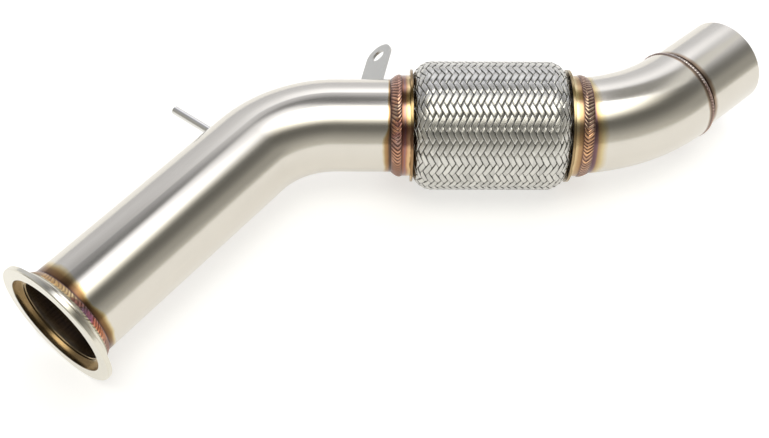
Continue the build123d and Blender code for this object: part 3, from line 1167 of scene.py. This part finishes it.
@dataclass(frozen=True)
class Room:
    """Studio round the pipe: pale walls, dark gaps, soft boxes and a bright ceiling panel.

    The rail's soft borders overlap, so it is a faint strip.
    """

    low_wall: float = 0.80
    high_wall: float = 0.92
    dark_side: SoftBox = SoftBox(0.16, 175, 110, 43, 16, 81, 53)
    ceiling: SoftBox = SoftBox(3.9, 192, 141, 59, 63, 105, 31)
    rail: SoftBox = SoftBox(4.0, 134, 122, 27, 70, 68, 27)
    back_lamp: SoftBox = SoftBox(4.6, -1, 5, 54, 34, 50, 29)
    back_gap: SoftBox = SoftBox(0.08, -36, 45, 11, 48, 87, 52)
    left_wall: SoftBox = SoftBox(0.47, -96, 42, 113, -20, 62, 71)
    right_gap: SoftBox = SoftBox(0.42, 92, 18, 30, 5, 22, 14)
    zenith: SoftBox = SoftBox(3.75, 18, 180, 35, 87, 120, 17)
    cool: Colour = (0.97, 0.985, 1.05)
    warm: Colour = (1.0, 0.98, 0.90)

    def paint(self) -> None:
        """Lays each panel over the ones before it."""
        world = bpy.data.worlds.new("studio")
        world.use_nodes = True
        world.node_tree.nodes.clear()
        bpy.context.scene.world = world
        bench = Bench(world.node_tree)
        x, y, z = bench.place("Generated")
        back = x * AWAY[0] + y * AWAY[1]
        right = x * AWAY[1] - y * AWAY[0]
        level = (x * x + y * y) ** 0.5
        climb = bench.maths("ARCTAN2", z, level) * math.degrees(1.0)
        turn = bench.maths("ARCTAN2", right, back) * math.degrees(1.0)
        glow = self.low_wall + (self.high_wall - self.low_wall) * climb.step(0.0, 25.0)
        first = (self.dark_side, self.ceiling, self.rail, self.back_lamp)
        for panel in (*first, self.back_gap, self.left_wall, self.right_gap, self.zenith):
            cover = panel.cover(turn, climb)
            glow = glow * (1.0 - cover) + panel.glow * cover
        tone = bench.mix((back / level).step(-0.1, 0.6), self.warm, self.cool)
        light = bench.node("ShaderNodeBackground", None, {"Color": bench.shade(tone, glow)})
        bench.node("ShaderNodeOutputWorld", None, {"Surface": light.outputs[0]})


def stage_sheet(
    name: str, corners: Sequence[Sequence[float]], material: bpy.types.Material
) -> bpy.types.Object:
    """Adds one flat sheet of the studio.

    Args:
        name: Its name.
        corners: Its four corners.
        material: Its finish.

    Returns:
        The sheet.
    """
    mesh = bpy.data.meshes.new(name)
    mesh.from_pydata([tuple(corner) for corner in corners], [], [(0, 1, 2, 3)])
    mesh.materials.append(material)
    sheet = bpy.data.objects.new(name, mesh)
    bpy.context.scene.collection.objects.link(sheet)
    return sheet


@dataclass(frozen=True)
class Studio:
    """Pale floor, the room round it, a card over the outlet, and the camera."""

    eye: tuple[float, float, float] = (-0.1568, -0.3663, 0.5339)
    sight: tuple[float, float, float] = (0.4975, 0.3817, -0.779)
    roll: float = math.radians(-0.15)
    lens: float = 50.04
    sensor: float = 36.0
    floor_height: float = -44.0 * MM
    floor_gap: float = 0.1 * MM
    floor_reach: float = 6.0
    floor_glow: float = 0.60
    floor_colour: Colour = (0.56, 0.56, 0.56)
    card: tuple[tuple[float, float], ...] = ((0.46, 0.27), (0.80, 0.27), (0.80, 0.60), (0.46, 0.60))
    card_height: float = 0.5
    card_glow: tuple[float, float] = (0.34, 0.90)
    card_edge: tuple[float, float] = (0.58, 0.70)

    def place_camera(self) -> None:
        """Sets the camera at the photograph's view."""
        ahead = Vector(self.sight).normalized()
        right = ahead.cross(Vector((0, 0, 1))).normalized()
        up = right.cross(ahead)
        turn = Matrix.Rotation(self.roll, 3, ahead)
        right, up = turn @ right, turn @ up
        data = bpy.data.cameras.new("camera")
        data.lens, data.sensor_width, data.sensor_fit = self.lens, self.sensor, "HORIZONTAL"
        data.clip_start = 0.01
        camera = bpy.data.objects.new("camera", data)
        axes = Matrix((right, up, -ahead)).transposed().to_4x4()
        camera.matrix_world = Matrix.Translation(Vector(self.eye)) @ axes
        bpy.context.scene.collection.objects.link(camera)
        bpy.context.scene.camera = camera

    def lay_floor(self) -> None:
        """Lays a wide white floor that glows a little, so that shadows on it stay faint."""
        material, bench = bare_material("floor_white")
        sockets = {
            "Base Color": (*self.floor_colour, 1.0),
            "Roughness": 0.8,
            "Emission Color": (1.0, 0.99, 0.97, 1.0),
            "Emission Strength": self.floor_glow,
        }
        shader = bench.node("ShaderNodeBsdfPrincipled", None, sockets)
        bench.node("ShaderNodeOutputMaterial", None, {"Surface": shader.outputs[0]})
        side, height = self.floor_reach, self.floor_height - self.floor_gap
        stage_sheet(
            "floor",
            [(-side, -side, height), (side, -side, height), (side, side, height), (-side, side, height)],
            material,
        )

    def hang_card(self) -> None:
        """Hangs a grey card over the outlet. Only polished steel shows it, and it casts no shadow."""
        right, away = Vector((AWAY[1], -AWAY[0], 0.0)), Vector((*AWAY, 0.0))
        material, bench = bare_material("card_grey")
        x, y, _ = bench.place()
        dim, bright = self.card_glow
        spot = (x * right.x + y * right.y).step(*self.card_edge)
        glow = bench.shade((1.0, 1.0, 0.98), dim + (bright - dim) * spot)
        lamp = bench.node("ShaderNodeEmission", None, {"Color": glow})
        bench.node("ShaderNodeOutputMaterial", None, {"Surface": lamp.outputs[0]})
        height = Vector((0.0, 0.0, self.card_height))
        card = stage_sheet("grey_card", [right * r + away * a + height for r, a in self.card], material)
        card.visible_camera = card.visible_diffuse = card.visible_shadow = False

    def build(self) -> None:
        """Builds the whole studio."""
        self.place_camera()
        self.lay_floor()
        self.hang_card()
        Room().paint()
        bpy.context.scene.view_settings.view_transform = "Standard"
        bpy.context.scene.view_settings.look = "None"
        log.info("studio: camera, floor and surroundings")


def main() -> None:
    """Builds the studio, then each sub-assembly from inlet to outlet."""
    logging.basicConfig(level=logging.INFO, format="%(name)s: %(message)s")
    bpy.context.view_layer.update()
    Studio().build()
    InletRun().build()
    FlexJoint().build()
    OutletRun().build()


if __name__ == "__main__":
    main()
